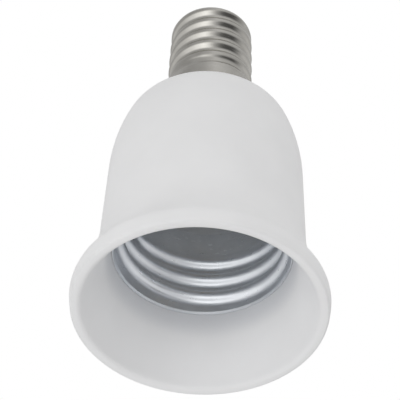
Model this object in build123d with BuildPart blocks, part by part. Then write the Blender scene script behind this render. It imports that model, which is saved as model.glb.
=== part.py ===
from build123d import *
from math import pi, sqrt
import os

# Lamp socket adapter: a large screw socket in a flared bell, with a small screw cap on top.
# The rim stands on z = 0, every round piece shares the Z axis, and the cap points up.

# Clearances between fixed pieces: a close fit and an easy one
close_gap = 0.05
easy_gap = 0.15

# Thread sections, as shares of the pitch, and the short cone between a thread and its plain wall
groove_mouth_share = 0.72
groove_root_share = 0.24
step_depth = 0.05
step_height = 0.6

# Socket shell: drawn sheet with a rolled inside thread that is open at the mouth
shell_sheet = 0.3
mouth_depth = 11.6
collar_height = 0.5
socket_crest_radius = 12.3
socket_thread_depth = 1.0
socket_pitch = 3.629
socket_half_turns = 6
socket_lead_in = 1.41
socket_thread_angle = 130.0
runout_share = 0.57
runout_arc = 52.0
plain_wall_length = 4.77
shell_end_height = 4.8
shell_end_inset = 0.95
flange_width = 0.9
lug_width = 2.6
lug_inset = 1.2
lug_height = 5.2
lug_bend = 0.5

# Bell: its wall round the shell, the flare to the rim and the shoulder to the neck
wall = 1.8
body_draft = 0.4
flare_width = 3.7
flare_height = 14.0
rim_band = 2.4
rim_round = 2.0
lip_thickness = 1.7
lip_chamfer = 0.65
chamber_height = 8.7
shoulder_drop = 5.1
shoulder_inset = 2.4
shoulder_round = 4.0
bell_drop = 11.2
snap_overlap = 0.15
snap_height = 0.1

# Contact carrier, keyed to the housing
carrier_thickness = 3.0
key_width = 2.0
key_depth = 0.8

# Centre contact: bent leaf, rivet and bead
leaf_thickness = 0.35
leaf_width = 4.4
leaf_inset = 0.6
leaf_foot_bend = 4.8
leaf_tip_bend = 1.8
leaf_tip_end = 2.4
leaf_drop = 2.2
leaf_bend = 0.9
leaf_corner = 1.5
rivet_inset = 2.4
rivet_radius = 1.0
rivet_head_radius = 1.6
rivet_head_height = 0.5
bead_radius = 1.9
bead_edge = 0.15
bead_dome = 0.55
bead_shank_radius = 0.8
bead_tail_radius = 1.25
bead_tail_height = 0.4

# Screw cap: drawn sheet with a rolled outside thread and a flared foot
cap_sheet = 0.3
skirt_radius = 6.95
skirt_height = 3.4
foot_flare = 0.8
foot_height = 1.3
cap_thread_depth = 0.75
cap_pitch = 2.822
cap_half_turns = 8
cap_thread_rise = 5.09
cap_thread_angle = 300.0
cap_end_margin = 0.2
cap_end_slope = 0.8
cap_end_inset = 0.5
cap_end_width = 1.8

# End of the cap: insulating bead, headed contact pin, and the spigot of the housing below them
bead_flange_width = 0.9
bead_flange_height = 1.9
bead_cone_height = 2.2
bead_cone_radius = 2.9
pin_radius = 1.45
pin_head_radius = 2.5
pin_head_edge = 0.4
pin_head_dome = 0.7
pin_swage_radius = 2.2
pin_swage_height = 0.5
pin_bore_radius = 1.05
pin_crown = 0.9
spigot_drop = 3.45
spigot_wall = 1.5
spigot_roof = 2.0

# Conductors: flat strips from the leaf rivet to the pin, and from the lug to the cap
strip_thickness = 0.4
strip_width = 1.8
strip_eye_radius = 2.2
strip_foot_bend = 5.4
strip_bend = 0.9
side_strip_thickness = 0.3
side_strip_width = 2.4
side_strip_margin = 0.6

# Socket shell, from the mouth up
collar_radius = socket_crest_radius + socket_thread_depth + close_gap
collar_top = mouth_depth + collar_height
thread_tube_base = collar_top + collar_radius - socket_crest_radius
socket_thread_start = mouth_depth - socket_lead_in
thread_tube_top = socket_thread_start + (socket_half_turns + groove_mouth_share) * socket_pitch / 2 + close_gap
plain_wall_radius = socket_crest_radius - step_depth
plain_wall_start = thread_tube_top + step_height
plain_wall_end = plain_wall_start + plain_wall_length
shell_end_radius = plain_wall_radius - shell_end_inset
flange_radius = shell_end_radius - flange_width
shell_top = plain_wall_end + shell_end_height
flange_level = shell_top - shell_sheet
lug_position = flange_radius - lug_inset
runout_radius = runout_share * socket_crest_radius

# Bell round the shell, and the chamber above it
pocket_radius = collar_radius + shell_sheet + easy_gap
plain_pocket_radius = plain_wall_radius + shell_sheet + easy_gap
snap_radius = collar_radius + shell_sheet - snap_overlap
body_low_radius = pocket_radius + wall
body_high_radius = body_low_radius - body_draft
rim_radius = body_low_radius + flare_width
carrier_top = shell_top + carrier_thickness
neck_radius = skirt_radius + foot_flare
neck_height = carrier_top + chamber_height
shoulder_radius = body_high_radius - shoulder_inset
shoulder_height = neck_height - shoulder_drop
bell_height = shoulder_height - bell_drop
cone = Vector(neck_radius - shoulder_radius, neck_height - shoulder_height).normalized()
cone_inset = Vector(-cone.Y, cone.X) * wall
chamber_shoulder = Vector(shoulder_radius, shoulder_height) + cone_inset
chamber_roof = Vector(neck_radius, neck_height) + cone_inset

# Screw cap and what its end holds
skirt_top = neck_height + skirt_height
cap_bore_radius = skirt_radius - cap_sheet
cap_crest_radius = skirt_radius - step_depth
cap_rib_radius = cap_crest_radius - cap_thread_depth - cap_sheet
cap_thread_start = neck_height + cap_thread_rise
cap_thread_top = cap_thread_start + (cap_half_turns + groove_mouth_share) * cap_pitch / 2
cap_top = cap_thread_top + cap_end_margin + cap_end_slope
cap_end_radius = cap_crest_radius - cap_end_inset
cap_hole_radius = cap_end_radius - cap_end_width
bead_flange_radius = cap_hole_radius + bead_flange_width
insulator_base = cap_top - cap_sheet - close_gap - bead_flange_height
insulator_top = cap_top + bead_cone_height
spigot_radius = cap_rib_radius - easy_gap
spigot_core_radius = spigot_radius - spigot_wall
spigot_top = insulator_base - spigot_drop

# Contacts and conductors
leaf_foot = shell_top - leaf_thickness
leaf_tip = leaf_foot - leaf_drop
leaf_foot_end = flange_radius - leaf_inset
rivet_position = flange_radius - rivet_inset
bead_head = leaf_tip - close_gap
bead_tail = leaf_tip + leaf_thickness + close_gap
strip_foot = carrier_top + strip_thickness / 2
strip_top = insulator_top + pin_head_edge + pin_head_dome - pin_crown - close_gap
side_strip_place = cap_bore_radius - side_strip_thickness - easy_gap
side_strip_foot = lug_position - (shell_sheet + side_strip_thickness) / 2 - close_gap


def across_plane(pitch, radius, inward):
    """Plane across a thread path on the X axis, its x pointing into the sheet."""
    return Plane(origin=(radius, 0, 0), x_dir=(-1 if inward else 1, 0, 0), z_dir=(0, 2 * pi * radius, pitch))


def thread_section(plane, pitch, depth, margin, rise):
    """Groove across a thread path: x runs from the crest into the sheet, y along the axis."""
    mouth = groove_mouth_share * pitch / 2
    root = groove_root_share * pitch / 2
    flare = (mouth - root) / depth * rise
    with BuildSketch(plane) as section:
        with BuildLine():
            Polyline(
                (-rise, mouth + flare + margin),
                (depth + margin, root + margin),
                (depth + margin, -root - margin),
                (-rise, -mouth - flare - margin),
                close=True,
            )
        make_face()
    return section.sketch


def half_turn(section, pitch, radius):
    """Half a turn of a thread, rising from the section on the X axis."""
    with BuildPart() as turn:
        with BuildLine() as path:
            Helix(pitch, pitch / 2, radius)
        sweep(section, path=path.edges()[0], is_frenet=True)
    return turn.part


def turn_places(start, pitch, half_turns, first_angle):
    """Places where the half turns of one thread begin, and last the place where the thread ends."""
    steps = range(half_turns + 1)
    return [Location((0, 0, start + k * pitch / 2), (0, 0, first_angle + 180 * k)) for k in steps]


# Housing: one moulding from the rim to the spigot inside the cap
with BuildPart() as housing:
    with BuildSketch(Plane.XZ) as housing_section:
        with BuildLine():
            lip = Line((rim_radius - lip_thickness, 0), (rim_radius, 0))
            band = Line(lip @ 1, (rim_radius, rim_band))
            body = Line((body_high_radius, bell_height), (body_low_radius, flare_height))
            TangentArc(body @ 1, band @ 1, tangent=body % 1)
            bell = TangentArc(body @ 0, (shoulder_radius, shoulder_height), tangent=body % 0 * -1)
            Polyline(
                bell @ 1,
                (neck_radius, neck_height),
                (cap_bore_radius - close_gap, neck_height),
                (cap_bore_radius - close_gap, skirt_top - cap_thread_depth),
                (spigot_radius, skirt_top),
                (spigot_radius, spigot_top),
                (0, spigot_top),
                (0, spigot_top - spigot_roof),
                (spigot_core_radius, spigot_top - spigot_roof),
                (spigot_core_radius, chamber_roof.Y),
                (chamber_roof.X, chamber_roof.Y),
                (chamber_shoulder.X, chamber_shoulder.Y),
                (chamber_shoulder.X, carrier_top),
                (plain_pocket_radius, carrier_top),
                (plain_pocket_radius, plain_wall_start + easy_gap),
                (pocket_radius, plain_wall_start + easy_gap),
                (pocket_radius, mouth_depth - close_gap),
                (snap_radius, mouth_depth - close_gap - snap_height),
                lip @ 0,
            )
        make_face()
        fillet(housing_section.vertices().sort_by_distance(band @ 1)[0], radius=rim_round)
        fillet(housing_section.vertices().sort_by_distance(bell @ 1)[0], radius=shoulder_round)
        chamfer(housing_section.vertices().group_by(Axis.Y)[0], length=lip_chamfer)
    revolve(axis=Axis.Z)
    with BuildSketch(Plane.XY.offset(shell_top)):
        with Locations((0, plain_pocket_radius)):
            Rectangle(key_width, 2 * key_depth)
        Circle(plain_pocket_radius + wall / 2, mode=Mode.INTERSECT)
    extrude(amount=carrier_thickness)
    with BuildSketch(Plane.XY.offset(spigot_top)):
        Rectangle(strip_thickness + 2 * easy_gap, strip_width + 2 * easy_gap)
    extrude(amount=-spigot_roof, mode=Mode.SUBTRACT)
    with BuildSketch(Plane.XY.offset(skirt_top)):
        with Locations((-cap_bore_radius, 0)):
            Rectangle(2 * (cap_bore_radius - side_strip_place + easy_gap), side_strip_width + 2 * easy_gap)
    extrude(amount=chamber_roof.Y - wall - skirt_top, mode=Mode.SUBTRACT)

# Screw cap: thin drawn sheet, its thread rolled inwards as a rib behind each groove.
# At both ends the groove leaves the sheet along a straight tangent.
cap_across = across_plane(cap_pitch, cap_crest_radius, inward=True)
cap_rib = thread_section(cap_across, cap_pitch, cap_thread_depth, cap_sheet, -cap_sheet / 2)
cap_groove = thread_section(cap_across, cap_pitch, cap_thread_depth, 0, cap_sheet)
cap_turns = turn_places(cap_thread_start, cap_pitch, cap_half_turns, cap_thread_angle)
cap_runout = sqrt(cap_crest_radius**2 - cap_rib_radius**2) + cap_sheet

with BuildPart() as cap_rib_end:
    extrude(cap_rib, amount=cap_runout, both=True)
    with BuildSketch(Plane.XY.offset(-cap_pitch)):
        Circle(cap_crest_radius + cap_runout)
        Circle(cap_crest_radius - close_gap, mode=Mode.SUBTRACT)
    extrude(amount=2 * cap_pitch, mode=Mode.SUBTRACT)

with BuildPart() as cap_groove_end:
    extrude(cap_groove, amount=cap_runout, both=True)

with BuildPart() as screw_cap:
    with BuildSketch(Plane.XZ):
        with BuildLine():
            Polyline(
                (neck_radius, neck_height),
                (skirt_radius, neck_height + foot_height),
                (skirt_radius, skirt_top - step_height),
                (cap_crest_radius, skirt_top),
                (cap_crest_radius, cap_top - cap_end_slope),
                (cap_end_radius, cap_top),
                (cap_hole_radius, cap_top),
                (cap_hole_radius, cap_top - cap_sheet),
                (cap_end_radius - cap_sheet, cap_top - cap_sheet),
                (cap_crest_radius - cap_sheet, cap_top - cap_end_slope),
                (cap_crest_radius - cap_sheet, skirt_top),
                (cap_bore_radius, skirt_top - step_height),
                (cap_bore_radius, neck_height + foot_height),
                (neck_radius - cap_sheet, neck_height),
                close=True,
            )
        make_face()
    revolve(axis=Axis.Z)
    with Locations(*cap_turns[:-1]):
        add(half_turn(cap_rib, cap_pitch, cap_crest_radius))
    with Locations(cap_turns[0], cap_turns[-1]):
        add(cap_rib_end.part)
    with Locations(*cap_turns[:-1]):
        add(half_turn(cap_groove, cap_pitch, cap_crest_radius), mode=Mode.SUBTRACT)
    with Locations(cap_turns[0], cap_turns[-1]):
        add(cap_groove_end.part, mode=Mode.SUBTRACT)

# Insulating bead in the end of the cap, and the headed contact pin swaged through it
with BuildPart() as cap_insulator:
    with BuildSketch(Plane.XZ):
        with BuildLine():
            Polyline(
                (pin_radius + close_gap, insulator_base),
                (bead_flange_radius, insulator_base),
                (bead_flange_radius, insulator_base + bead_flange_height),
                (cap_hole_radius - close_gap, insulator_base + bead_flange_height),
                (cap_hole_radius - close_gap, cap_top),
                (bead_cone_radius, insulator_top),
                (pin_radius + close_gap, insulator_top),
                close=True,
            )
        make_face()
    revolve(axis=Axis.Z)

with BuildPart() as tip_contact:
    with BuildSketch(Plane.XZ):
        with BuildLine():
            crown = insulator_top + pin_head_edge + pin_head_dome
            dome = TangentArc((0, crown), (pin_head_radius, insulator_top + pin_head_edge), tangent=(1, 0))
            Polyline(
                dome @ 1,
                (pin_head_radius, insulator_top),
                (pin_radius, insulator_top),
                (pin_radius, insulator_base),
                (pin_swage_radius, insulator_base),
                (pin_swage_radius, insulator_base - pin_swage_height),
                (pin_bore_radius, insulator_base - pin_swage_height),
                (pin_bore_radius, crown - pin_crown),
                (0, crown - pin_crown),
                dome @ 0,
            )
        make_face()
    revolve(axis=Axis.Z)

# Socket shell: thin drawn sheet, its thread rolled outwards, open at the mouth collar.
# Past its last turn the groove curves inwards out of the sheet.
socket_across = across_plane(socket_pitch, socket_crest_radius, inward=False)
socket_rib = thread_section(socket_across, socket_pitch, socket_thread_depth, shell_sheet, -shell_sheet / 2)
socket_groove = thread_section(socket_across, socket_pitch, socket_thread_depth, 0, shell_sheet)
socket_turns = turn_places(socket_thread_start, socket_pitch, socket_half_turns, socket_thread_angle)
runout_axis = Axis((socket_crest_radius - runout_radius, 0, 0), socket_across.y_dir * -1)

with BuildPart() as socket_rib_end:
    revolve(socket_rib, axis=runout_axis, revolution_arc=runout_arc)
    with BuildSketch(Plane.XY.offset(-socket_pitch)):
        Circle(socket_crest_radius + close_gap)
    extrude(amount=2 * socket_pitch, mode=Mode.SUBTRACT)

with BuildPart() as socket_groove_end:
    revolve(socket_groove, axis=runout_axis, revolution_arc=runout_arc)

with BuildPart() as socket_shell:
    with BuildSketch(Plane.XZ):
        with BuildLine():
            Polyline(
                (collar_radius, mouth_depth),
                (collar_radius, collar_top),
                (socket_crest_radius, thread_tube_base),
                (socket_crest_radius, thread_tube_top),
                (plain_wall_radius, plain_wall_start),
                (plain_wall_radius, plain_wall_end),
                (shell_end_radius, flange_level),
                (flange_radius, flange_level),
                (flange_radius, shell_top),
                (shell_end_radius + shell_sheet, shell_top),
                (plain_wall_radius + shell_sheet, plain_wall_end),
                (plain_wall_radius + shell_sheet, plain_wall_start),
                (socket_crest_radius + shell_sheet, thread_tube_top),
                (socket_crest_radius + shell_sheet, thread_tube_base),
                (collar_radius + shell_sheet, collar_top),
                (collar_radius + shell_sheet, mouth_depth),
                close=True,
            )
        make_face()
    revolve(axis=Axis.Z)
    with Locations(*socket_turns[:-1]):
        add(half_turn(socket_rib, socket_pitch, socket_crest_radius))
    with Locations(socket_turns[-1]):
        add(socket_rib_end.part)
    with BuildSketch(Plane.XZ):
        with BuildLine():
            Polyline(
                (0, 0),
                (rim_radius, 0),
                (rim_radius, mouth_depth),
                (collar_radius, mouth_depth),
                (collar_radius, collar_top),
                (socket_crest_radius, thread_tube_base),
                (0, thread_tube_base),
                close=True,
            )
        make_face()
    revolve(axis=Axis.Z, mode=Mode.SUBTRACT)
    with Locations(*socket_turns[:-1]):
        add(half_turn(socket_groove, socket_pitch, socket_crest_radius), mode=Mode.SUBTRACT)
    with Locations(socket_turns[-1]):
        add(socket_groove_end.part, mode=Mode.SUBTRACT)
    with BuildSketch(Plane.XZ):
        with BuildLine():
            FilletPolyline(
                (-shell_end_radius, shell_top - shell_sheet / 2),
                (-lug_position, shell_top - shell_sheet / 2),
                (-lug_position, shell_top + lug_height),
                radius=lug_bend,
            )
        trace(line_width=shell_sheet)
    extrude(amount=lug_width / 2, both=True)

# Contact carrier: moulded disc between the shell's flange and the ledge of the housing
with BuildPart() as contact_carrier:
    with BuildSketch(Plane.XY.offset(shell_top)):
        Circle(plain_pocket_radius - close_gap)
        with Locations((rivet_position, 0)):
            Circle(rivet_radius + close_gap, mode=Mode.SUBTRACT)
        with Locations((-lug_position, 0)):
            Rectangle(2 * lug_bend + shell_sheet + easy_gap, lug_width + 2 * easy_gap, mode=Mode.SUBTRACT)
        with Locations((0, plain_pocket_radius)):
            Rectangle(key_width + 2 * easy_gap, 2 * (key_depth + easy_gap), mode=Mode.SUBTRACT)
    extrude(amount=carrier_thickness)

# Contact leaf: one bent strip, its foot riveted to the carrier and its tip on the axis
with BuildPart() as contact_leaf:
    with BuildSketch(Plane.XZ):
        with BuildLine():
            FilletPolyline(
                (leaf_foot_end, leaf_foot + leaf_thickness / 2),
                (leaf_foot_bend, leaf_foot + leaf_thickness / 2),
                (leaf_tip_bend, leaf_tip + leaf_thickness / 2),
                (-leaf_tip_end, leaf_tip + leaf_thickness / 2),
                radius=leaf_bend,
            )
        trace(line_width=leaf_thickness)
    extrude(amount=leaf_width / 2, both=True)
    fillet(contact_leaf.edges().filter_by(Axis.Z).group_by(Axis.X)[0], radius=leaf_corner)
    with BuildSketch(Plane.XY.offset(leaf_tip - leaf_thickness)):
        Circle(bead_shank_radius + close_gap)
        with Locations((rivet_position, 0)):
            Circle(rivet_radius + close_gap)
    extrude(amount=shell_top - leaf_tip + leaf_thickness, mode=Mode.SUBTRACT)

# Contact bead: riveted loosely through the leaf's tip, with a domed face towards the lamp
with BuildPart() as contact_bead:
    with BuildSketch(Plane.XZ):
        with BuildLine():
            face = TangentArc(
                (0, bead_head - bead_edge - bead_dome),
                (bead_radius, bead_head - bead_edge),
                tangent=(1, 0),
            )
            Polyline(
                face @ 1,
                (bead_radius, bead_head),
                (bead_shank_radius, bead_head),
                (bead_shank_radius, bead_tail),
                (bead_tail_radius, bead_tail),
                (bead_tail_radius, bead_tail + bead_tail_height),
                (0, bead_tail + bead_tail_height),
                face @ 0,
            )
        make_face()
    revolve(axis=Axis.Z)

# Leaf rivet: headed under the leaf and spread over the foot of the centre strip
with BuildPart() as leaf_rivet:
    with BuildSketch(Plane.XZ):
        with BuildLine():
            Polyline(
                (rivet_position, leaf_foot - rivet_head_height),
                (rivet_position + rivet_head_radius, leaf_foot - rivet_head_height),
                (rivet_position + rivet_head_radius, leaf_foot),
                (rivet_position + rivet_radius, leaf_foot),
                (rivet_position + rivet_radius, carrier_top + strip_thickness),
                (rivet_position + rivet_head_radius, carrier_top + strip_thickness),
                (rivet_position + rivet_head_radius, carrier_top + strip_thickness + rivet_head_height),
                (rivet_position, carrier_top + strip_thickness + rivet_head_height),
                close=True,
            )
        make_face()
    revolve(axis=Axis((rivet_position, 0, 0), (0, 0, 1)))

# Centre strip from the rivet, up the axis through the spigot, into the bore of the pin
with BuildPart() as centre_strip:
    with BuildSketch(Plane.XZ):
        with BuildLine():
            FilletPolyline(
                (rivet_position, strip_foot),
                (strip_foot_bend, strip_foot),
                (0, chamber_roof.Y),
                (0, strip_top),
                radius=strip_bend,
            )
        trace(line_width=strip_thickness)
    extrude(amount=strip_width / 2, both=True)
    with BuildSketch(Plane.XY.offset(carrier_top)):
        with Locations((rivet_position, 0)):
            Circle(strip_eye_radius)
    extrude(amount=strip_thickness)
    with BuildSketch(Plane.XY.offset(carrier_top)):
        with Locations((rivet_position, 0)):
            Circle(rivet_radius + close_gap)
    extrude(amount=strip_thickness, mode=Mode.SUBTRACT)

# Side strip from the shell's lug, through the neck, to the inside of the cap's skirt
with BuildPart() as side_strip:
    with BuildSketch(Plane.XZ):
        with BuildLine():
            FilletPolyline(
                (-side_strip_foot, carrier_top + side_strip_margin),
                (-side_strip_foot, shell_top + lug_height + side_strip_margin),
                (-side_strip_place - side_strip_thickness / 2, chamber_roof.Y - wall),
                (-side_strip_place - side_strip_thickness / 2, skirt_top - side_strip_margin),
                radius=strip_bend,
            )
        trace(line_width=side_strip_thickness)
    extrude(amount=side_strip_width / 2, both=True)

pieces = {
    "housing": housing,
    "screw_cap": screw_cap,
    "cap_insulator": cap_insulator,
    "tip_contact": tip_contact,
    "socket_shell": socket_shell,
    "contact_carrier": contact_carrier,
    "contact_leaf": contact_leaf,
    "contact_bead": contact_bead,
    "leaf_rivet": leaf_rivet,
    "centre_strip": centre_strip,
    "side_strip": side_strip,
}
os.makedirs("parts", exist_ok=True)
for name, piece in pieces.items():
    piece.part.label = name
    export_step(piece.part, f"parts/{name}.step")
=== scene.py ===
"""Looks of a lamp socket adapter.

A flared white bell with a small plated screw cap on top and a large screw shell in its mouth.
"""
import logging
import math
from collections.abc import Callable, Sequence
from dataclasses import dataclass
from enum import Enum

import bmesh
import bpy
import numpy as np
from mathutils import Matrix, Vector


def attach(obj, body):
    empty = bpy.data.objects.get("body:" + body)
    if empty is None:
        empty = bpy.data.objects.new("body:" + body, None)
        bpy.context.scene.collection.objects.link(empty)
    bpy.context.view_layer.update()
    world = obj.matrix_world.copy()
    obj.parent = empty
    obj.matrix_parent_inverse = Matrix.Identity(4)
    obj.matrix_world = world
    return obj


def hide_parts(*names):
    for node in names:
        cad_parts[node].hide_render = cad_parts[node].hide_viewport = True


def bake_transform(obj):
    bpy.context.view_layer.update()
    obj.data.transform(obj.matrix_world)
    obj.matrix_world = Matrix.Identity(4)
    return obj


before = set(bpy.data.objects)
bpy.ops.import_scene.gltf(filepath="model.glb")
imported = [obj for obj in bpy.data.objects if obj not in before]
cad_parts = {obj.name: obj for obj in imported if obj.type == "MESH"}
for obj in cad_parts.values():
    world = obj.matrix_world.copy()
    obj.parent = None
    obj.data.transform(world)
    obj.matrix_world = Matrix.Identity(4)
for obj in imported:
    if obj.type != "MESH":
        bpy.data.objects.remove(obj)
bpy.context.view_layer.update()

log = logging.getLogger("adapter")
MM = 0.001

# Meshes: edges sharper than this stay sharp, corners flatter than this aren't rounded, and the turn
# of each step in a rounded corner, all in radians; then the points across a strip
SHARP_ANGLE = math.radians(38)
FLAT_TURN = 0.02
ROUND_STEP = 0.2
STRIP_COLUMNS = 9

# Finishes: the values that noise mostly keeps between, the relief's strength and the depth of scattering
NOISE_LOW, NOISE_HIGH = 0.3, 0.7
RELIEF_STRENGTH = 0.5
SCATTER_DEPTH = 2.0 * MM

Point = tuple[float, float]
Radial = Callable[[np.ndarray, np.ndarray], np.ndarray]
Faced = tuple[list, list]


class Body(Enum):
    """Rigid bodies of the adapter that a piece can ride on."""

    ADAPTER = "adapter"
    CONTACT = "contact"


class Slot(Enum):
    """Finishes of the record that a piece can take."""

    WHITE_PLASTIC = "white_plastic"
    PLATED_CAP = "plated_cap"
    SHELL_SHEET = "shell_sheet"
    DARK_INSULATOR = "dark_insulator"
    CONTACT_BRASS = "contact_brass"


class Grain(Enum):
    """How the fine marks of a finish run, as the scale of its texture along X, Y and Z."""

    EVEN = (1.0, 1.0, 1.0)
    ROUND_THE_AXIS = (0.12, 0.12, 1.0)
    ALONG_X = (0.1, 1.0, 1.0)


# Outlines in the plane of radius and height


def tangent_arc(start: Point, along: Point, end: Point, steps: int) -> np.ndarray:
    """Arc that leaves start in a given direction and arrives at end.

    Args:
        start: first point, as radius and height.
        along: direction of the arc at its first point.
        end: last point.
        steps: number of equal steps on the arc.

    Returns:
        The points of the arc, both ends included.
    """
    first, last = np.array(start, float), np.array(end, float)
    way = np.array(along, float) / np.hypot(*along)
    side = np.array((-way[1], way[0]))
    chord = last - first
    lean = 2 * chord @ side
    if abs(lean) < 1e-9:
        return np.linspace(first, last, steps + 1)
    radius = chord @ chord / lean
    centre = first + side * radius
    sweep = 2 * math.atan2(chord @ side, chord @ way)
    turns = np.linspace(0, sweep, steps + 1)
    arm = first - centre
    return np.array([centre + (arm[0] * math.cos(t) - arm[1] * math.sin(t),
                               arm[0] * math.sin(t) + arm[1] * math.cos(t)) for t in turns])


def straight(start: Point, end: Point, spacing: float) -> np.ndarray:
    """Straight run with evenly spaced points.

    Args:
        start: first point, as radius and height.
        end: last point.
        spacing: largest distance between two points.

    Returns:
        The points of the run, both ends included.
    """
    length = math.dist(start, end)
    return np.linspace(start, end, max(2, math.ceil(length / spacing) + 1))


def trimmed(run: np.ndarray, reach: float) -> np.ndarray:
    """Run without the last stretch of a given length.

    Args:
        run: points of the run.
        reach: length to take off its end.

    Returns:
        The points that are left, ending where the cut is.
    """
    steps = np.linalg.norm(np.diff(run, axis=0), axis=1)
    left = max(steps.sum() - reach, 0.05 * steps.sum())
    count = int(np.searchsorted(np.cumsum(steps), left))
    before = np.cumsum(steps)[count] - steps[count]
    cut = run[count] + (run[count + 1] - run[count]) * (left - before) / steps[count]
    return np.vstack((run[: count + 1], cut))


def joined(runs: Sequence[np.ndarray], rounds: Sequence[float]) -> np.ndarray:
    """One outline from runs that meet end to end, with a rounded corner between each two.

    Args:
        runs: points of each run, in order.
        rounds: radius of the corner after each run but the last; 0 leaves it sharp.

    Returns:
        The points of the whole outline, without doubled ones.
    """
    done = [np.array(run, float) for run in runs]
    corners = []
    for k, radius in enumerate(rounds):
        into = done[k][-1] - done[k][-2]
        out = done[k + 1][1] - done[k + 1][0]
        turn = abs(math.atan2(into[0] * out[1] - into[1] * out[0], into @ out))
        if radius <= 0 or turn < FLAT_TURN:
            corners.append(None)
            continue
        reach = radius * math.tan(turn / 2)
        done[k] = trimmed(done[k], reach)
        done[k + 1] = trimmed(done[k + 1][::-1], reach)[::-1]
        way = done[k][-1] - done[k][-2]
        corners.append(tangent_arc(tuple(done[k][-1]), tuple(way), tuple(done[k + 1][0]),
                                   max(4, math.ceil(turn / ROUND_STEP))))
    line = [done[0]]
    for corner, run in zip(corners, done[1:]):
        if corner is not None:
            line.append(corner[1:-1])
            line.append(run)
        else:
            line.append(run[1:])
    return np.vstack(line)


def turned(outline: np.ndarray, segments: int, radial: Radial | None = None) -> Faced:
    """Closed body turned round the Z axis.

    Args:
        outline: closed outline in millimetres as radius and height, its first point not repeated.
        segments: number of steps round the axis.
        radial: radius of every point from its angle and the outline's own radius, where the two differ.

    Returns:
        Its vertices in metres and its faces.
    """
    rows = len(outline)
    angles = np.linspace(0, 2 * math.pi, segments, endpoint=False)
    radii = np.repeat(outline[:, :1], segments, axis=1)
    if radial is not None:
        radii = radial(np.repeat(angles[None, :], rows, axis=0), radii)
    heights = np.repeat(outline[:, 1:], segments, axis=1)
    grid = np.stack((radii * np.cos(angles), radii * np.sin(angles), heights), axis=2) * MM
    vertices, index = [], np.zeros((rows, segments), int)
    for row in range(rows):
        if np.all(radii[row] < 1e-6):
            index[row] = len(vertices)
            vertices.append(grid[row, 0])
        else:
            index[row] = np.arange(len(vertices), len(vertices) + segments)
            vertices.extend(grid[row])
    faces = []
    for row in range(rows):
        low, high = index[row], index[(row + 1) % rows]
        for k in range(segments):
            ring = (low[k], low[(k + 1) % segments], high[(k + 1) % segments], high[k])
            corners = list(dict.fromkeys(int(v) for v in ring))
            if len(corners) > 2:
                faces.append(corners)
    return vertices, faces


def bent_strip(line: np.ndarray, thickness: float, half_widths: Sequence[float]) -> Faced:
    """Closed strip of sheet that follows a line in the XZ plane.

    Args:
        line: points of the strip's middle, as X and height in millimetres.
        thickness: thickness of the sheet.
        half_widths: half of the strip's width at each point.

    Returns:
        Its vertices in metres and its faces.
    """
    ways = np.gradient(line, axis=0)
    ways /= np.linalg.norm(ways, axis=1)[:, None]
    sides = np.stack((-ways[:, 1], ways[:, 0]), axis=1) * thickness / 2
    across = np.linspace(-1, 1, STRIP_COLUMNS)
    vertices, faces = [], []
    for place, side, half in zip(line, sides, half_widths):
        for sign in (1, -1):
            x, z = place + sign * side
            vertices.extend(Vector((x, share * half, z)) * MM for share in across)
    count = len(across)
    ring = 2 * count
    for low in range(0, (len(line) - 1) * ring, ring):
        high = low + ring
        for k in range(count - 1):
            faces.append((low + k, low + k + 1, high + k + 1, high + k))
            faces.append((low + count + k + 1, low + count + k, high + count + k, high + count + k + 1))
        faces.append((low + count, low, high, high + count))
        faces.append((low + count - 1, low + ring - 1, high + ring - 1, high + count - 1))
    for row in (0, (len(line) - 1) * ring):
        for k in range(count - 1):
            faces.append((row + k, row + count + k, row + count + k + 1, row + k + 1))
    return vertices, faces


def together(first: Faced, second: Faced) -> Faced:
    """Two closed bodies as one.

    Args:
        first: vertices and faces of one body.
        second: vertices and faces of the other.

    Returns:
        The vertices and faces of both.
    """
    start = len(first[0])
    moved = [[start + v for v in face] for face in second[1]]
    return [*first[0], *second[0]], [*first[1], *moved]


def lathe(name: str, outline: np.ndarray, segments: int, radial: Radial | None = None) -> bpy.types.Object:
    """Turned body as an object, with the arguments of turned after its name."""
    return solid(name, *turned(outline, segments, radial))


def solid(name: str, vertices: Sequence, faces: Sequence, closed: bool = True) -> bpy.types.Object:
    """Mesh object in the scene, its faces smooth up to its sharp edges.

    Args:
        name: name of the piece.
        vertices: places in metres.
        faces: vertex numbers of each face.
        closed: whether the mesh is a closed body, whose faces are turned outwards.

    Returns:
        The new object.
    """
    mesh = bpy.data.meshes.new(name)
    mesh.from_pydata([tuple(v) for v in vertices], [], faces)
    mesh.validate()
    if closed:
        shape = bmesh.new()
        shape.from_mesh(mesh)
        bmesh.ops.recalc_face_normals(shape, faces=shape.faces)
        shape.to_mesh(mesh)
        shape.free()
    mesh.shade_smooth()
    mesh.set_sharp_from_angle(angle=SHARP_ANGLE)
    made = bpy.data.objects.new(name, mesh)
    bpy.context.scene.collection.objects.link(made)
    return made


# Finishes


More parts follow.
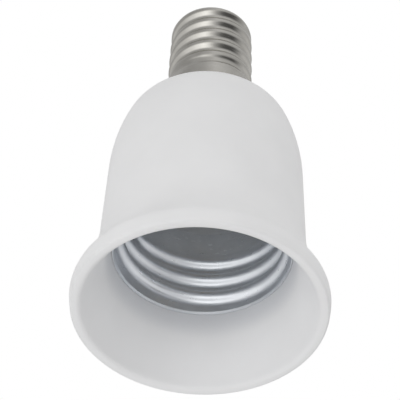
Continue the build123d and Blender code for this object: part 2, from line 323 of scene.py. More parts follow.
@dataclass(frozen=True)
class Finish:
    """Procedural surface with a colour, a roughness and a fine relief that vary over the piece."""

    name: str
    dark: tuple[float, float, float]
    light: tuple[float, float, float]
    rough_low: float
    rough_high: float
    metallic: float
    specular: float
    patch_mm: float
    mark_mm: float
    relief_mm: float
    grain: Grain = Grain.EVEN
    subsurface: float = 0.0
    coat: float = 0.0

    def material(self) -> bpy.types.Material:
        """Shader of the finish.

        Returns:
            The new material.
        """
        made = bpy.data.materials.new(self.name)
        made.use_nodes = True
        nodes, links = made.node_tree.nodes, made.node_tree.links
        shader = nodes["Principled BSDF"]
        shader.inputs["Metallic"].default_value = self.metallic
        shader.inputs["Specular IOR Level"].default_value = self.specular
        shader.inputs["Subsurface Weight"].default_value = self.subsurface
        shader.inputs["Subsurface Scale"].default_value = SCATTER_DEPTH
        shader.inputs["Subsurface Radius"].default_value = (1.0, 1.0, 1.0)
        shader.inputs["Coat Weight"].default_value = self.coat
        place = nodes.new("ShaderNodeTexCoord")
        run = nodes.new("ShaderNodeMapping")
        run.inputs["Scale"].default_value = self.grain.value
        links.new(place.outputs["Object"], run.inputs["Vector"])
        patches = self.noise(nodes, self.patch_mm, 3)
        links.new(place.outputs["Object"], patches.inputs["Vector"])
        marks = self.noise(nodes, self.mark_mm, 5)
        links.new(run.outputs["Vector"], marks.inputs["Vector"])
        tint = nodes.new("ShaderNodeValToRGB")
        tint.color_ramp.elements[0].position = NOISE_LOW
        tint.color_ramp.elements[0].color = (*self.dark, 1)
        tint.color_ramp.elements[1].position = NOISE_HIGH
        tint.color_ramp.elements[1].color = (*self.light, 1)
        links.new(patches.outputs["Fac"], tint.inputs["Fac"])
        links.new(tint.outputs["Color"], shader.inputs["Base Color"])
        wear = nodes.new("ShaderNodeMapRange")
        wear.inputs["From Min"].default_value = NOISE_LOW
        wear.inputs["From Max"].default_value = NOISE_HIGH
        wear.inputs["To Min"].default_value = self.rough_low
        wear.inputs["To Max"].default_value = self.rough_high
        links.new(marks.outputs["Fac"], wear.inputs["Value"])
        links.new(wear.outputs["Result"], shader.inputs["Roughness"])
        relief = nodes.new("ShaderNodeBump")
        relief.inputs["Strength"].default_value = RELIEF_STRENGTH
        relief.inputs["Distance"].default_value = self.relief_mm * MM
        links.new(marks.outputs["Fac"], relief.inputs["Height"])
        links.new(relief.outputs["Normal"], shader.inputs["Normal"])
        return made

    @staticmethod
    def noise(nodes: bpy.types.Nodes, size_mm: float, detail: float) -> bpy.types.Node:
        """Noise texture whose patches have a given size.

        Args:
            nodes: nodes of the material.
            size_mm: size of a patch.
            detail: number of finer octaves.

        Returns:
            The new node.
        """
        made = nodes.new("ShaderNodeTexNoise")
        made.inputs["Scale"].default_value = 1 / (size_mm * MM)
        made.inputs["Detail"].default_value = detail
        return made


@dataclass(frozen=True)
class ShadePaintedPlastic(Finish):
    """Plastic with painted shade: a grey multiplies its colour over a ring of its surface. Sizes in
    millimetres.
    """

    # Painted shade: the grey multiplies the colour where the mask is full, which is 1 at the full radius, 0
    # at the clear radius, smooth between and only below the given height
    grey: tuple[float, float, float] = (0.84, 0.85, 0.87)
    shade_full_radius: float = 13.8
    shade_clear_radius: float = 14.7
    shade_below: float = 12.0

    def material(self) -> bpy.types.Material:
        """Shader of the finish with its ring of painted shade.

        Returns:
            The new material.
        """
        made = super().material()
        nodes, links = made.node_tree.nodes, made.node_tree.links
        colour = nodes["Principled BSDF"].inputs["Base Color"]
        place = nodes.new("ShaderNodeTexCoord")
        parts = nodes.new("ShaderNodeSeparateXYZ")
        links.new(place.outputs["Object"], parts.inputs["Vector"])
        across = nodes.new("ShaderNodeCombineXYZ")
        radius = nodes.new("ShaderNodeVectorMath")
        radius.operation = "LENGTH"
        for axis in "XY":
            links.new(parts.outputs[axis], across.inputs[axis])
        links.new(across.outputs["Vector"], radius.inputs[0])
        # Mask of the painted shade, by distance from the axis and by height
        near = nodes.new("ShaderNodeMapRange")
        near.interpolation_type = "SMOOTHSTEP"
        near.inputs["From Min"].default_value = self.shade_clear_radius * MM
        near.inputs["From Max"].default_value = self.shade_full_radius * MM
        links.new(radius.outputs["Value"], near.inputs["Value"])
        low = nodes.new("ShaderNodeMath")
        low.operation = "LESS_THAN"
        low.inputs[1].default_value = self.shade_below * MM
        links.new(parts.outputs["Z"], low.inputs[0])
        where = nodes.new("ShaderNodeMath")
        where.operation = "MULTIPLY"
        links.new(near.outputs["Result"], where.inputs[0])
        links.new(low.outputs["Value"], where.inputs[1])
        # Painted shade: the grey multiplies the base colour inside the mask
        painted_shade_mix = nodes.new("ShaderNodeMix")
        painted_shade_mix.data_type = "RGBA"
        painted_shade_mix.blend_type = "MULTIPLY"
        painted_shade_mix.inputs["B"].default_value = (*self.grey, 1)
        links.new(where.outputs["Value"], painted_shade_mix.inputs["Factor"])
        links.new(colour.links[0].from_socket, painted_shade_mix.inputs["A"])
        links.new(painted_shade_mix.outputs["Result"], colour)
        return made


# Housing plastic with painted shade round the throat next to the shell: greyer inside 14.7 mm radius, fully
# inside 13.8 mm, below 12 mm height
WHITE_PLASTIC = ShadePaintedPlastic("satin_plastic_painted_shade", (0.845, 0.845, 0.85), (0.875, 0.875, 0.88), 0.42, 0.52,
                              0.0, 0.4, 9.0, 0.35, 0.004, subsurface=0.1)
NICKEL_PLATE = Finish("nickel_plate", (0.53, 0.515, 0.48), (0.6, 0.585, 0.55), 0.17, 0.25, 1.0, 0.5,
                      2.0, 0.2, 0.0008, Grain.ROUND_THE_AXIS)
DRAWN_ALUMINIUM = Finish("drawn_aluminium", (0.74, 0.765, 0.8), (0.81, 0.835, 0.87), 0.27, 0.32, 0.82, 0.5,
                         3.0, 0.2, 0.0004, Grain.ROUND_THE_AXIS)
BLACK_GLASS = Finish("black_glass", (0.018, 0.018, 0.02), (0.035, 0.035, 0.038), 0.12, 0.24, 0.0, 0.5,
                     1.4, 0.5, 0.012, coat=0.3)
# Carrier plastic with painted shade towards its edge: greyer from 4.5 mm radius outward, fully from 8.5 mm
MATT_PLASTIC = ShadePaintedPlastic("matt_plastic_painted_shade", (0.85, 0.85, 0.845), (0.9, 0.9, 0.895), 0.5, 0.62, 0.0, 0.35,
                             4.0, 0.3, 0.006, grey=(0.55, 0.56, 0.56), shade_full_radius=8.5, shade_clear_radius=4.5,
                             shade_below=40.0)
SPRING_BRASS = Finish("spring_brass", (0.58, 0.42, 0.2), (0.74, 0.57, 0.31), 0.24, 0.42, 1.0, 0.5,
                      1.6, 0.15, 0.004, Grain.ALONG_X)
SOLDERED_TIP = Finish("soldered_tip", (0.5, 0.49, 0.47), (0.66, 0.65, 0.63), 0.26, 0.45, 1.0, 0.5,
                      1.1, 0.3, 0.03)


def dress(piece: bpy.types.Object, finish: Finish) -> None:
    """Gives a piece one finish all over.

    Args:
        piece: object to dress.
        finish: its finish.
    """
    ready = bpy.data.materials.get(finish.name) or finish.material()
    piece.data.materials.clear()
    piece.data.materials.append(ready)


def seat(piece: bpy.types.Object, body: Body, node: str) -> None:
    """Puts a piece in the place of a CAD node.

    Args:
        piece: object that stands for the node.
        body: body it rides on.
        node: node that it replaces.
    """
    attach(piece, body.value)
    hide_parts(node)
    log.info("%s: %d faces, for %s on %s", piece.name, len(piece.data.polygons), node, body.value)


@dataclass(frozen=True)
class Thread:
    """Rolled thread: a right-hand groove with a round root that runs out at its ends."""

    start: float
    pitch: float
    turns: float
    depth: float
    first_angle: float
    run_in: float
    run_out: float
    open_turns: float = 0.0
    closing_turns: float = 0.3

    def strength(self, turn: np.ndarray) -> np.ndarray:
        """Depth of the groove along its path, as a share of the full depth.

        Args:
            turn: number of turns from the start of the path.

        Returns:
            Values from 0 to 1.
        """
        past = np.maximum(-turn * 360 / self.run_in, (turn - self.turns) * 360 / self.run_out)
        share = np.clip(1 - past, 0, 1)
        return np.where((turn < 0) & (self.open_turns > 0), 0, share * share * (3 - 2 * share))

    def section(self, across: np.ndarray) -> np.ndarray:
        """Knuckle section of the groove: a round root that meets a round crest on the flank.

        Args:
            across: distance from the middle of the groove along the axis.

        Returns:
            Depth as a share of the full depth.
        """
        half = self.pitch / 2
        lean = 2 * math.atan2(self.depth, half)
        radius = half / (2 * math.sin(lean))
        from_crest = np.clip(half - across, 0, half / 2)
        from_root = np.clip(across, 0, half / 2)
        root = self.depth - radius + np.sqrt(radius ** 2 - from_root ** 2)
        crest = radius - np.sqrt(radius ** 2 - from_crest ** 2)
        return np.where(across < half / 2, root, crest) / self.depth

    def groove(self, angle: np.ndarray, height: np.ndarray) -> np.ndarray:
        """Depth of the groove in millimetres.

        Args:
            angle: angles round the axis.
            height: heights in millimetres.

        Returns:
            The depth at every place, 0 on the crests.
        """
        lead = ((angle - math.radians(self.first_angle)) % (2 * math.pi)) / (2 * math.pi)
        deep = np.zeros_like(height)
        for whole in range(-1, math.ceil(self.turns) + 1):
            turn = whole + lead
            away = (height - self.start - turn * self.pitch) / self.pitch
            form = self.section(np.abs(away) * self.pitch)
            shut = np.clip((turn - self.open_turns) / self.closing_turns, 0, 1)
            form = np.where((away < 0) & (self.open_turns > 0), 1 - shut * (1 - form), form)
            deep = np.maximum(deep, self.depth * self.strength(turn) * form)
        return deep


# Sub-assemblies


@dataclass(frozen=True)
class Housing:
    """White moulding from the rim to the spigot inside the cap. Sizes in millimetres."""

    rim: float = 19.3
    rim_foot: float = 18.98
    rim_band: float = 2.4
    lip: float = 1.7
    flare: Point = (15.6, 14.0)
    body_top: Point = (15.2, 28.0)
    shoulder: Point = (12.85, 39.05)
    neck: Point = (7.75, 43.7)
    seat_top: float = 44.3
    mouth: Point = (13.66, 11.65)
    throat: Point = (13.85, 10.8)
    throat_lean: float = 11.0
    pocket_top: float = 23.18
    inner_pocket: float = 12.7
    ledge: float = 35.6
    chamber: tuple[Point, Point] = ((11.53, 37.93), (6.47, 43.03))
    skirt: Point = (6.6, 46.95)
    spigot: tuple[Point, Point] = ((5.7, 47.7), (5.7, 57.0))
    core: Point = (4.2, 55.0)
    rounds: tuple[float, ...] = (0.45, 2.2, 0.0, 0.0, 6.0, 0.15)
    lip_trim: float = 0.6
    arc_steps: int = 26
    throat_steps: int = 24
    segments: int = 192

    def build(self) -> bpy.types.Object:
        """Turned bell with its rounded lip and its hollow.

        Returns:
            The new piece.
        """
        way = (self.flare[0] - self.body_top[0], self.flare[1] - self.body_top[1])
        flare = tangent_arc(self.flare, way, (self.rim, self.rim_band), self.arc_steps)[::-1]
        bell = tangent_arc(self.body_top, (-way[0], -way[1]), self.shoulder, self.arc_steps)
        inside = self.rim - self.lip
        runs = [
            straight((inside, 0), (self.rim_foot, 0), 0.4),
            straight((self.rim_foot, 0), (self.rim, self.rim_band), 0.4),
            flare,
            straight(self.flare, self.body_top, 0.8),
            bell,
            straight(self.shoulder, self.neck, 0.6),
        ]
        rounds = list(self.rounds)
        (roof_low, roof_high), (spigot_low, spigot_high) = self.chamber, self.spigot
        corners = [
            self.neck,
            (self.neck[0], self.seat_top),
            (self.skirt[0], self.seat_top),
            self.skirt,
            spigot_low,
            spigot_high,
            (0, spigot_high[1]),
            (0, self.core[1]),
            self.core,
            (self.core[0], roof_high[1]),
            roof_high,
            roof_low,
            (roof_low[0], self.ledge),
            (self.inner_pocket, self.ledge),
            (self.inner_pocket, self.pocket_top),
            (self.mouth[0], self.pocket_top),
            self.mouth,
            self.throat,
        ]
        for start, end in zip(corners, corners[1:]):
            runs.append(straight(start, end, 1.2))
            rounds.append(0.0)
        lean = math.radians(self.throat_lean)
        way_out = (math.sin(lean), -math.cos(lean))
        runs.append(tangent_arc(self.throat, way_out, (inside, 0), self.throat_steps))
        line = joined(runs, rounds)
        return lathe("bell_housing", self.lip_rounded(line), self.segments)

    def lip_rounded(self, line: np.ndarray) -> np.ndarray:
        """Closed outline whose first and last point meet in a rounded lip.

        Args:
            line: outline from the inner edge of the lip round to the same edge.

        Returns:
            The outline without its doubled end.
        """
        kept = trimmed(line, self.lip_trim)
        way = kept[-1] - kept[-2]
        turn = tangent_arc(tuple(kept[-1]), tuple(way), tuple(kept[2]), 6)
        return np.vstack((kept[2:], turn[1:-1]))

    def dress(self, piece: bpy.types.Object) -> None:
        """Satin white plastic all over, with painted shade round the throat next to the shell."""
        dress(piece, WHITE_PLASTIC)
        seat(piece, Body.ADAPTER, "housing")


@dataclass(frozen=True)
class ScrewCap:
    """Small plated cap of thin sheet, its thread rolled inwards. Sizes in millimetres."""

    base: float = 44.3
    foot: float = 7.75
    foot_height: float = 1.3
    skirt: float = 6.95
    crest: float = 6.9
    skirt_top: float = 47.7
    taper_start: float = 55.0
    taper: float = 0.15
    top: float = 62.7
    end: float = 6.4
    end_slope: float = 0.8
    hole: float = 4.6
    step_height: float = 0.6
    end_margin: float = 0.4
    rounds: tuple[float, ...] = (0.5, 0.0, 0.0, 0.0, 0.5, 0.35)
    sheet: float = 0.3
    thread: Thread = Thread(start=49.923, pitch=2.822, turns=3.811, depth=0.6, first_angle=8.0,
                            run_in=200.0, run_out=80.0)
    segments: int = 192

    def wall(self, inset: float) -> np.ndarray:
        """One side of the sheet from the foot to the hole in the end.

        Args:
            inset: distance from the outer side.

        Returns:
            The points of that side.
        """
        foot, skirt, crest, end = (r - inset for r in (self.foot, self.skirt, self.crest, self.end))
        low = self.base + self.foot_height
        step, slope = self.skirt_top - self.step_height, self.top - self.end_slope
        runs = [
            straight((foot, self.base), (skirt, low), 0.3),
            straight((skirt, low), (skirt, step), 0.3),
            straight((skirt, step), (crest, self.skirt_top), 0.12),
            straight((crest, self.skirt_top), (crest, self.taper_start), 0.12),
            straight((crest, self.taper_start), (crest - self.taper, slope), 0.12),
            straight((crest - self.taper, slope), (end, self.top - inset), 0.15),
            straight((end, self.top - inset), (self.hole, self.top - inset), 0.3),
        ]
        return joined(runs, self.rounds)

    def build(self) -> bpy.types.Object:
        """Threaded sheet, both of its sides.

        Returns:
            The new piece.
        """
        outside, inside = self.wall(0), self.wall(self.sheet)
        outline = np.vstack((outside, inside[::-1]))

        def radial(angle: np.ndarray, radius: np.ndarray) -> np.ndarray:
            """Radius of the sheet with its groove pressed in.

            Args:
                angle: angles round the axis.
                radius: radius of the plain sheet.

            Returns:
                The radius at every place.
            """
            height = np.repeat(outline[:, 1:], angle.shape[1], axis=1)
            tube = (height > self.skirt_top - self.step_height) & (height < self.top - self.end_margin)
            tube &= radius > self.end - 2 * self.sheet
            return radius - np.where(tube, self.thread.groove(angle, height), 0)

        return lathe("plated_screw_cap", outline, self.segments, radial)

    def dress(self, piece: bpy.types.Object) -> None:
        """Nickel plate all over."""
        dress(piece, NICKEL_PLATE)
        seat(piece, Body.ADAPTER, "screw_cap")


@dataclass(frozen=True)
class SocketShell:
    """Large aluminium shell of thin sheet, its thread open at the mouth. Sizes in millimetres."""

    mouth: Point = (13.47, 11.7)
    collar: float = 13.28
    collar_top: float = 12.05
    crest: float = 12.15
    tube_base: float = 13.15
    tube_top: float = 22.43
    plain: float = 12.25
    plain_start: float = 23.03
    plain_end: float = 27.8
    end: float = 11.3
    flange: float = 10.4
    top: float = 32.6
    sheet: float = 0.3
    lug_width: float = 2.6
    lug_place: float = 9.2
    lug_top: float = 37.8
    lug_bend: float = 0.5
    lug_sheet: float = 0.28
    lug_overlap: float = 0.2
    mouth_splay: float = 0.2
    rounds: tuple[float, ...] = (0.3, 0.4, 0.0, 0.0, 1.0, 0.4)
    thread: Thread = Thread(start=9.97, pitch=3.629, turns=3.0, depth=1.13, first_angle=130.0,
                            run_in=40.0, run_out=40.0, open_turns=1.15)
    segments: int = 216

    def wall(self, offset: float) -> np.ndarray:
        """One side of the sheet from the mouth to the flange.

        Args:
            offset: distance from the inner side.

        Returns:
            The points of that side.
        """
        collar, crest, plain, end = (r + offset for r in (self.collar, self.crest, self.plain, self.end))
        level = self.top - self.sheet + offset
        mouth = (self.mouth[0] + self.mouth_splay * offset, self.mouth[1])
        runs = [
            straight(mouth, (collar, self.collar_top), 0.1),
            straight((collar, self.collar_top), (crest, self.tube_base), 0.1),
            straight((crest, self.tube_base), (crest, self.tube_top), 0.14),
            straight((crest, self.tube_top), (plain, self.plain_start), 0.2),
            straight((plain, self.plain_start), (plain, self.plain_end), 0.5),
            straight((plain, self.plain_end), (end, level), 0.5),
            straight((end, level), (self.flange, level), 0.3),
        ]
        return joined(runs, self.rounds)

    def build(self) -> bpy.types.Object:
        """Threaded sheet with its flange and lug, both of its sides.

        Returns:
            The new piece.
        """
        inside, outside = self.wall(0), self.wall(self.sheet)
        outline = np.vstack((inside, outside[::-1]))
        inner_rows = np.arange(len(outline)) < len(inside)

        def radial(angle: np.ndarray, radius: np.ndarray) -> np.ndarray:
            """Radius of the sheet with its groove pressed out.

            Args:
                angle: angles round the axis.
                radius: radius of the plain sheet.

            Returns:
                The radius at every place.
            """
            height = np.repeat(outline[:, 1:], angle.shape[1], axis=1)
            side = np.where(inner_rows, 0.0, self.sheet)[:, None]
            rolled = self.crest + side + self.thread.groove(angle, height)
            return np.where(height < self.plain_start, np.maximum(radius, rolled), radius)

        sheet = turned(outline, self.segments, radial)
        return solid("threaded_socket_shell", *together(sheet, self.lug()))

    def lug(self) -> Faced:
        """Tongue from the flange, bent up through the carrier.

        Returns:
            Its vertices and faces.
        """
        level = self.top - self.sheet / 2
        runs = [
            straight((-self.flange - self.lug_overlap, level), (-self.lug_place, level), 0.2),
            straight((-self.lug_place, level), (-self.lug_place, self.lug_top), 0.4),
        ]
        line = joined(runs, [self.lug_bend])
        return bent_strip(line, self.lug_sheet, [self.lug_width / 2] * len(line))

    def dress(self, piece: bpy.types.Object) -> None:
        """Drawn aluminium all over."""
        dress(piece, DRAWN_ALUMINIUM)
        seat(piece, Body.ADAPTER, "socket_shell")


@dataclass(frozen=True)
class CapEnd:
    """Insulating bead in the end of the cap and the contact pin through it. Sizes in millimetres."""

    base: float = 60.45
    flange: float = 5.5
    flange_top: float = 62.35
    hole: float = 4.55
    cap_top: float = 62.7
    cone: float = 2.9
    top: float = 64.9
    pin: float = 1.45
    head: float = 2.5
    head_edge: float = 0.4
    crown: float = 66.0
    swage: Point = (2.2, 59.95)
    bore: Point = (1.05, 65.1)
    gap: float = 0.05
    bead_rounds: tuple[float, ...] = (0.2, 0.15, 0.0, 0.35, 0.4, 0.0)
    tip_rounds: tuple[float, ...] = (0.18, 0.08, 0.0, 0.0, 0.1, 0.12, 0.0, 0.0)
    dome_steps: int = 12
    segments: int = 96

    def build_insulator(self) -> bpy.types.Object:
        """Bead with a softly fired edge.

        Returns:
            The new piece.
        """
        bore = self.pin + self.gap
        corners = [(bore, self.base), (self.flange, self.base), (self.flange, self.flange_top),
                   (self.hole, self.flange_top), (self.hole, self.cap_top), (self.cone, self.top),
                   (bore, self.top), (bore, self.base)]
        runs = [straight(a, b, 0.3) for a, b in zip(corners, corners[1:])]
        line = joined(runs, self.bead_rounds)
        return lathe("cap_end_bead", line[:-1], self.segments)

    def build_tip(self) -> bpy.types.Object:
        """Domed head on a hollow pin that is swaged behind the bead.

        Returns:
            The new piece.
        """
        edge = (self.head, self.top + self.head_edge)
        dome = tangent_arc((0, self.crown), (1, 0), edge, self.dome_steps)
        corners = [edge, (self.head, self.top), (self.pin, self.top), (self.pin, self.base),
                   (self.swage[0], self.base), self.swage, (self.bore[0], self.swage[1]), self.bore,
                   (0, self.bore[1])]
        runs = [dome] + [straight(a, b, 0.25) for a, b in zip(corners, corners[1:])]
        line = joined(runs, self.tip_rounds)
        return lathe("tip_contact_pin", line, self.segments)

    def dress(self, bead: bpy.types.Object, tip: bpy.types.Object) -> None:
        """Black glass for the bead and dull solder-plated metal for the tip.

        Args:
            bead: the insulating bead.
            tip: the contact pin.
        """
        dress(bead, BLACK_GLASS)
        seat(bead, Body.ADAPTER, "cap_insulator")
        dress(tip, SOLDERED_TIP)
        seat(tip, Body.ADAPTER, "tip_contact")


@dataclass(frozen=True)
class CentreContact:
    """Sprung contact in the socket: a bent leaf and the bead on its tip. Sizes in millimetres."""

    thickness: float = 0.35
    width: float = 4.4
    foot_end: float = 9.8
    foot_bend: float = 4.8
    tip_bend: float = 1.8
    tip_end: float = 2.4
    foot: float = 32.43
    tip: float = 30.23
    bend: float = 0.9
    corner: float = 1.5
    bead: float = 1.9
    bead_low: float = 29.3
    bead_head: float = 30.0
    shank: float = 0.8
    bead_edge: float = 0.15
    tail: tuple[Point, Point] = ((1.25, 30.45), (1.25, 30.85))
    bead_rounds: tuple[float, ...] = (0.1, 0.06, 0.0, 0.0, 0.1, 0.1)
    dome_steps: int = 12
    segments: int = 64

    def half_width(self, along: float) -> float:
        """Half of the leaf's width at a place along X, drawn in at its rounded tip."""
        short = max(0.0, self.corner - (along + self.tip_end))
        return self.width / 2 - self.corner + math.sqrt(max(self.corner**2 - short**2, 0.0))

    def build_leaf(self) -> bpy.types.Object:
        """Bent strip in fine steps.

        Returns:
            The new piece.
        """
        runs = [
            straight((self.foot_end, self.foot), (self.foot_bend, self.foot), 0.25),
            straight((self.foot_bend, self.foot), (self.tip_bend, self.tip), 0.15),
            straight((self.tip_bend, self.tip), (-self.tip_end, self.tip), 0.1),
        ]
        line = joined(runs, [self.bend, self.bend])
        halves = [self.half_width(x) for x in line[:, 0]]
        return solid("spring_leaf", *bent_strip(line, self.thickness, halves))

    def build_bead(self) -> bpy.types.Object:
        """Contact rivet with a domed face.

        Returns:
            The new piece.
        """
        edge = (self.bead, self.bead_head - self.bead_edge)
        face = tangent_arc((0, self.bead_low), (1, 0), edge, self.dome_steps)
        corners = [edge, (self.bead, self.bead_head), (self.shank, self.bead_head),
                   (self.shank, self.tail[0][1]), *self.tail, (0, self.tail[1][1])]
        runs = [face] + [straight(a, b, 0.2) for a, b in zip(corners, corners[1:])]
        line = joined(runs, self.bead_rounds)
        return lathe("contact_rivet_bead", line, self.segments)

    def dress(self, leaf: bpy.types.Object, bead: bpy.types.Object) -> None:
        """Spring brass for both; the bead rides on the contact body.

        Args:
            leaf: the bent leaf.
            bead: the bead on its tip.
        """
        dress(leaf, SPRING_BRASS)
        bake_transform(leaf)
        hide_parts("contact_leaf")
        log.info("%s: %d faces, for contact_leaf", leaf.name, len(leaf.data.polygons))
        dress(bead, SPRING_BRASS)
        seat(bead, Body.CONTACT, "contact_bead")


@dataclass(frozen=True)
class InnerPieces:
    """CAD pieces behind the shell that keep their own shape."""

    carrier: str = "contact_carrier"
    metal: tuple[str, ...] = ("leaf_rivet", "centre_strip", "side_strip")

    def dress(self) -> None:
        """Matt plastic for the carrier, with painted shade towards its edge, and brass for the rivet and
        the strips.
        """
        dress(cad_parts[self.carrier], MATT_PLASTIC)
        for name in self.metal:
            dress(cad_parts[name], SPRING_BRASS)
        log.info("inner pieces: %s, %s", self.carrier, ", ".join(self.metal))


@dataclass(frozen=True)
class Lamp:
    """Soft studio lamp that points at the adapter."""

    name: str
    place: tuple[float, float, float]
    size: float
    power: float

    def build(self, target: Vector) -> None:
        """Square area lamp turned to a target.

        Args:
            target: point that it shines at.
        """
        data = bpy.data.lights.new(self.name, "AREA")
        data.size = self.size
        data.energy = self.power
        made = bpy.data.objects.new(self.name, data)
        made.location = self.place
        made.rotation_euler = (target - made.location).to_track_quat("-Z", "Y").to_euler()
        made.visible_glossy = False
        bpy.context.scene.collection.objects.link(made)


@dataclass(frozen=True)
class Studio:
    """Pale floor, white surroundings, lamps and the camera below the rim that looks up into the mouth."""

    eye: tuple[float, float, float] = (0.0, -0.20374, -0.18195)
    pitch: float = 45.21
    yaw: float = -0.14
    roll: float = 2.53
    focal_px: float = 1871.16
    picture_px: float = 400.0
    sensor_mm: float = 36.0
    clip: Point = (0.01, 20.0)
    ambient_stops: tuple[Point, ...] = (
        (-1, 0.25), (-0.7, 0.75), (-0.35, 0.65), (0, 0.03), (0.5, 0.84), (1, 0.64),
    )
    wall_strength: float = 2.6
    wall_stops: tuple[Point, ...] = (
        (-180, 0.34), (-95, 0.28), (-70, 0.3), (-48, 0.4), (-28, 0.5), (-13, 0.63), (-3, 0.52),
        (6, 0.32), (15, 0.18), (30, 0.04), (60, 0.03), (90, 0.26), (180, 0.34),
    )
    ceiling_stops: tuple[Point, ...] = (
        (-180, 0.22), (-60, 0.16), (-20, 0.19), (15, 0.28), (60, 0.21), (180, 0.22),
    )
    ground_stops: tuple[Point, ...] = (
        (-180, 0.5), (-60, 0.5), (-5, 0.52), (25, 0.34), (62, 0.32), (95, 0.4), (180, 0.5),
    )
    nadir_stops: tuple[Point, ...] = ((-180, 0.08), (180, 0.08))
    ceiling_rise: tuple[float, float] = (-0.1, 0.45)
    ground_fall: tuple[float, float] = (-0.6, -0.85)
    nadir_fall: tuple[float, float] = (-0.85, -1.0)
    floor_hole: float = 0.0188
    floor_drop: float = 0.00008
    floor_edge: float = 3.0
    floor_sides: int = 96
    floor_grey: float = 0.86
    lamp_target: tuple[float, float, float] = (0.0, 0.0, 0.03)
    lamps: tuple[Lamp, ...] = (
        Lamp("low_left_lamp", (-0.42, -0.25, -0.32), 0.5, 1.19),
        Lamp("low_right_lamp", (0.42, -0.25, -0.32), 0.5, 0.5),
        Lamp("high_left_lamp", (-0.4, -0.3, 0.3), 0.5, 0.28),
        Lamp("high_right_lamp", (0.4, -0.3, 0.3), 0.5, 0.48),
        Lamp("high_front_lamp", (0.0, -0.5, 0.3), 0.5, 0.16),
    )

    def build_camera(self) -> None:
        """Camera at the photograph's angle."""
        p, y, r = (math.radians(a) for a in (self.pitch, self.yaw, self.roll))
        ahead = Vector((0, math.cos(p), math.sin(p)))
        up = Vector((0, -math.sin(p), math.cos(p)))
        right = Vector((1, 0, 0))
        ahead, right = math.cos(y) * ahead + math.sin(y) * right, math.cos(y) * right - math.sin(y) * ahead
        right, up = math.cos(r) * right + math.sin(r) * up, math.cos(r) * up - math.sin(r) * right
        data = bpy.data.cameras.new("camera")
        data.sensor_width = self.sensor_mm
        data.lens = self.focal_px / self.picture_px * data.sensor_width
        data.clip_start, data.clip_end = self.clip
        made = bpy.data.objects.new("camera", data)
        turn = Matrix((right, up, -ahead)).transposed()
        made.matrix_world = Matrix.Translation(self.eye) @ turn.to_4x4()
        bpy.context.scene.collection.objects.link(made)
        bpy.context.scene.camera = made

    def build_floor(self) -> None:
        """Pale floor that shows from above only, open under the mouth."""
        count = self.floor_sides
        vertices, faces = [], []
        for radius in (self.floor_hole, self.floor_edge):
            for k in range(count):
                a = 2 * math.pi * k / count
                vertices.append((radius * math.cos(a), radius * math.sin(a), -self.floor_drop))
        for k in range(count):
            n = (k + 1) % count
            faces.append((k, count + k, count + n, n))
        floor = solid("floor", vertices, faces, closed=False)
        made = bpy.data.materials.new("floor")
        made.use_nodes = True
        nodes, links = made.node_tree.nodes, made.node_tree.links
        shader = nodes["Principled BSDF"]
        shader.inputs["Base Color"].default_value = (*[self.floor_grey] * 3, 1)
        shader.inputs["Roughness"].default_value = 0.8
        shader.inputs["Specular IOR Level"].default_value = 0.1
        side = nodes.new("ShaderNodeNewGeometry")
        clear = nodes.new("ShaderNodeBsdfTransparent")
        mix = nodes.new("ShaderNodeMixShader")
        links.new(side.outputs["Backfacing"], mix.inputs["Fac"])
        links.new(shader.outputs["BSDF"], mix.inputs[1])
        links.new(clear.outputs["BSDF"], mix.inputs[2])
        links.new(mix.outputs["Shader"], nodes["Material Output"].inputs["Surface"])
        floor.data.materials.append(made)
        floor.visible_shadow = False
        floor.visible_glossy = False
        floor.visible_diffuse = False

    def build_world(self) -> None:
        """Surroundings: white to the camera, soft light by height, and studio walls in what is mirrored."""
        world = bpy.data.worlds.new("surroundings")
        bpy.context.scene.world = world
        world.use_nodes = True
        nodes, links = world.node_tree.nodes, world.node_tree.links
        even = nodes["Background"]
        way = nodes.new("ShaderNodeTexCoord")
        parts = nodes.new("ShaderNodeSeparateXYZ")
        links.new(way.outputs["Generated"], parts.inputs["Vector"])
        level = nodes.new("ShaderNodeMapRange")
        level.inputs["From Min"].default_value = -1.0
        links.new(parts.outputs["Z"], level.inputs["Value"])
        layers = self.ramp(nodes, self.ambient_stops, 1.0)
        links.new(level.outputs["Result"], layers.inputs["Fac"])
        links.new(layers.outputs["Color"], even.inputs["Color"])
        seen = nodes.new("ShaderNodeBackground")
        seen.inputs["Color"].default_value = (1, 1, 1, 1)
        seen.inputs["Strength"].default_value = 1.0
        walls = nodes.new("ShaderNodeBackground")
        walls.inputs["Strength"].default_value = self.wall_strength
        links.new(self.wall_colour(nodes, links, parts), walls.inputs["Color"])
        path = nodes.new("ShaderNodeLightPath")
        mirrored = nodes.new("ShaderNodeMixShader")
        links.new(path.outputs["Is Glossy Ray"], mirrored.inputs["Fac"])
        links.new(even.outputs["Background"], mirrored.inputs[1])
        links.new(walls.outputs["Background"], mirrored.inputs[2])
        mix = nodes.new("ShaderNodeMixShader")
        links.new(path.outputs["Is Camera Ray"], mix.inputs["Fac"])
        links.new(mirrored.outputs["Shader"], mix.inputs[1])
        links.new(seen.outputs["Background"], mix.inputs[2])
        links.new(mix.outputs["Shader"], nodes["World Output"].inputs["Surface"])

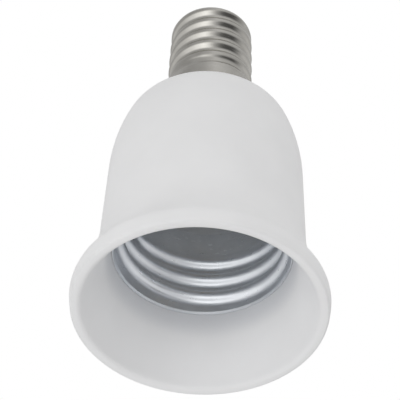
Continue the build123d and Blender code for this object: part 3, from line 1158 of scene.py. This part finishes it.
    def wall_colour(self, nodes: bpy.types.Nodes, links: bpy.types.NodeLinks,
                    parts: bpy.types.Node) -> bpy.types.NodeSocket:
        """Brightness of the studio walls, and of the ceiling above and the ground below them.

        Args:
            nodes: nodes of the world.
            links: links of the world.
            parts: node with the direction's X, Y and Z.

        Returns:
            Socket with the colour for every direction.
        """
        front = nodes.new("ShaderNodeMath")
        front.operation = "MULTIPLY"
        front.inputs[1].default_value = -1.0
        links.new(parts.outputs["Y"], front.inputs[0])
        bearing = nodes.new("ShaderNodeMath")
        bearing.operation = "ARCTAN2"
        links.new(parts.outputs["X"], bearing.inputs[0])
        links.new(front.outputs["Value"], bearing.inputs[1])
        share = nodes.new("ShaderNodeMapRange")
        share.inputs["From Min"].default_value = -math.pi
        share.inputs["From Max"].default_value = math.pi
        links.new(bearing.outputs["Value"], share.inputs["Value"])
        colour = self.layer(nodes, links, share, self.wall_stops)
        levels = (
            (self.ceiling_stops, self.ceiling_rise),
            (self.ground_stops, self.ground_fall),
            (self.nadir_stops, self.nadir_fall),
        )
        for stops, (start, end) in levels:
            reach = nodes.new("ShaderNodeMapRange")
            reach.inputs["From Min"].default_value = start
            reach.inputs["From Max"].default_value = end
            links.new(parts.outputs["Z"], reach.inputs["Value"])
            both = nodes.new("ShaderNodeMix")
            both.data_type = "RGBA"
            links.new(reach.outputs["Result"], both.inputs["Factor"])
            links.new(colour, both.inputs["A"])
            links.new(self.layer(nodes, links, share, stops), both.inputs["B"])
            colour = both.outputs["Result"]
        return colour

    def layer(self, nodes: bpy.types.Nodes, links: bpy.types.NodeLinks, share: bpy.types.Node,
              stops: Sequence[Point]) -> bpy.types.NodeSocket:
        """Brightness all round the adapter at one level.

        Args:
            nodes: nodes of the world.
            links: links of the world.
            share: node with the bearing as a share of a whole turn.
            stops: bearing in degrees, 0 in front, and brightness of each stop.

        Returns:
            Socket with the colour for every bearing.
        """
        made = self.ramp(nodes, stops, 180.0)
        links.new(share.outputs["Result"], made.inputs["Fac"])
        return made.outputs["Color"]

    @staticmethod
    def ramp(nodes: bpy.types.Nodes, stops: Sequence[Point], reach: float) -> bpy.types.Node:
        """Grey ramp, from the negative end of its range to the positive one.

        Args:
            nodes: nodes of the world.
            stops: place in the range and brightness of each stop.
            reach: end of the range, the same on both sides of 0.

        Returns:
            The new node.
        """
        made = nodes.new("ShaderNodeValToRGB")
        line = made.color_ramp.elements
        while len(line) < len(stops):
            line.new(0.5)
        for element, (place, grey) in zip(line, stops):
            element.position = (place / reach + 1) / 2
            element.color = (grey, grey, grey, 1)
        return made

    def build(self) -> None:
        """Whole studio round the adapter."""
        self.build_camera()
        self.build_floor()
        self.build_world()
        for lamp in self.lamps:
            lamp.build(Vector(self.lamp_target))
        bpy.context.scene.view_settings.view_transform = "Standard"


def main() -> None:
    """Builds the studio and the pieces in order."""
    logging.basicConfig(level=logging.INFO, format="%(name)s: %(message)s")
    Studio().build()
    housing = Housing()
    housing.dress(housing.build())
    cap = ScrewCap()
    cap.dress(cap.build())
    shell = SocketShell()
    shell.dress(shell.build())
    end = CapEnd()
    end.dress(end.build_insulator(), end.build_tip())
    contact = CentreContact()
    contact.dress(contact.build_leaf(), contact.build_bead())
    InnerPieces().dress()


if __name__ == "__main__":
    main()
